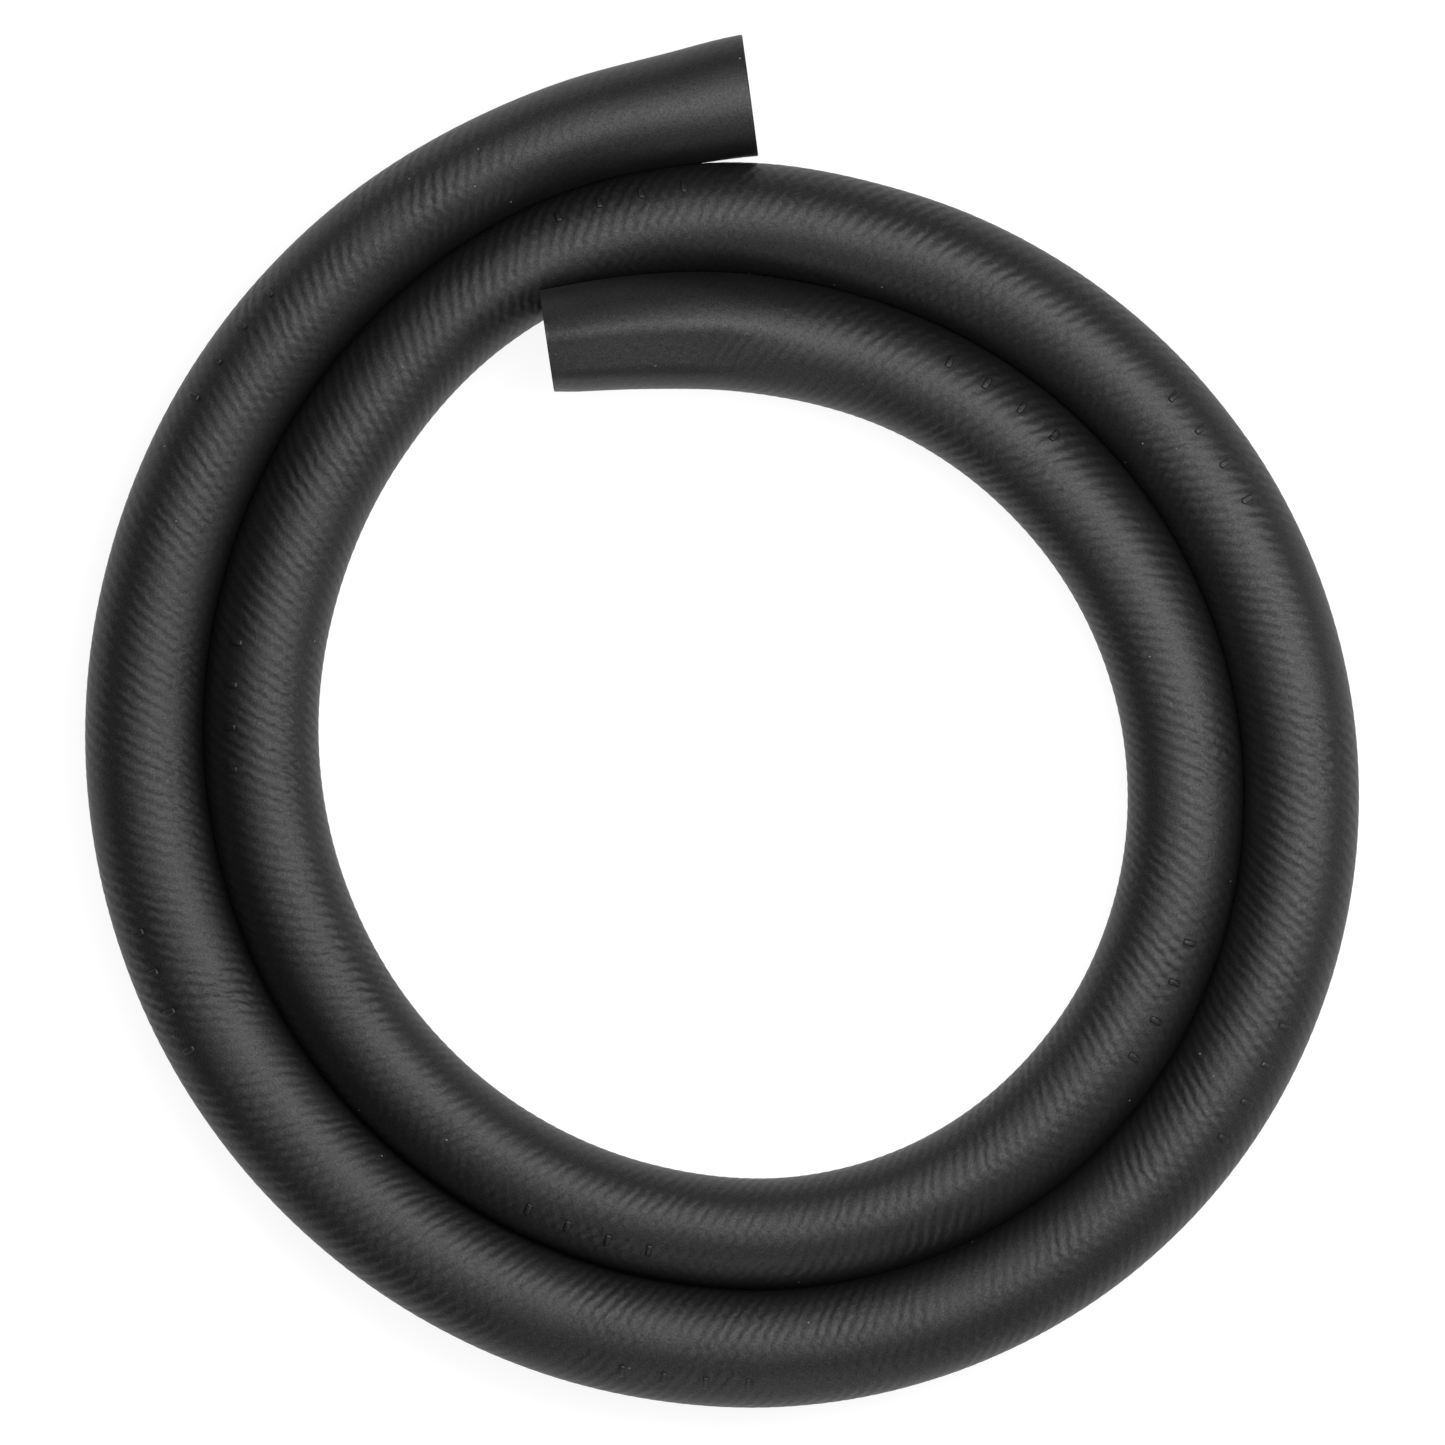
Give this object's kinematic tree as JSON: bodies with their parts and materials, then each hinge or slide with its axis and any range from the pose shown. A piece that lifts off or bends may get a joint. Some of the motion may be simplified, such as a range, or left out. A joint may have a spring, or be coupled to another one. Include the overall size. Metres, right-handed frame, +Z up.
{
  "type": "fuel hose",
  "caption": "Length of black textile-braided rubber fuel hose with an open bore, laid flat in a loose spiral with both ends cut plain.",
  "frame": {"origin": "middle of the coil's box in plan, on the floor that the hose lies on", "axes": "+Z up from the floor, +Y towards the side of the coil where both cut ends lie, +X the way the outer end opens"},
  "size_m": [0.1896, 0.2044, 0.0312],
  "materials": {
    "hose_rubber": "matte, cloth-textured cover"
  },
  "bodies": {
    "root": {"hose": "hose_rubber"}
  },
  "joints": []
}
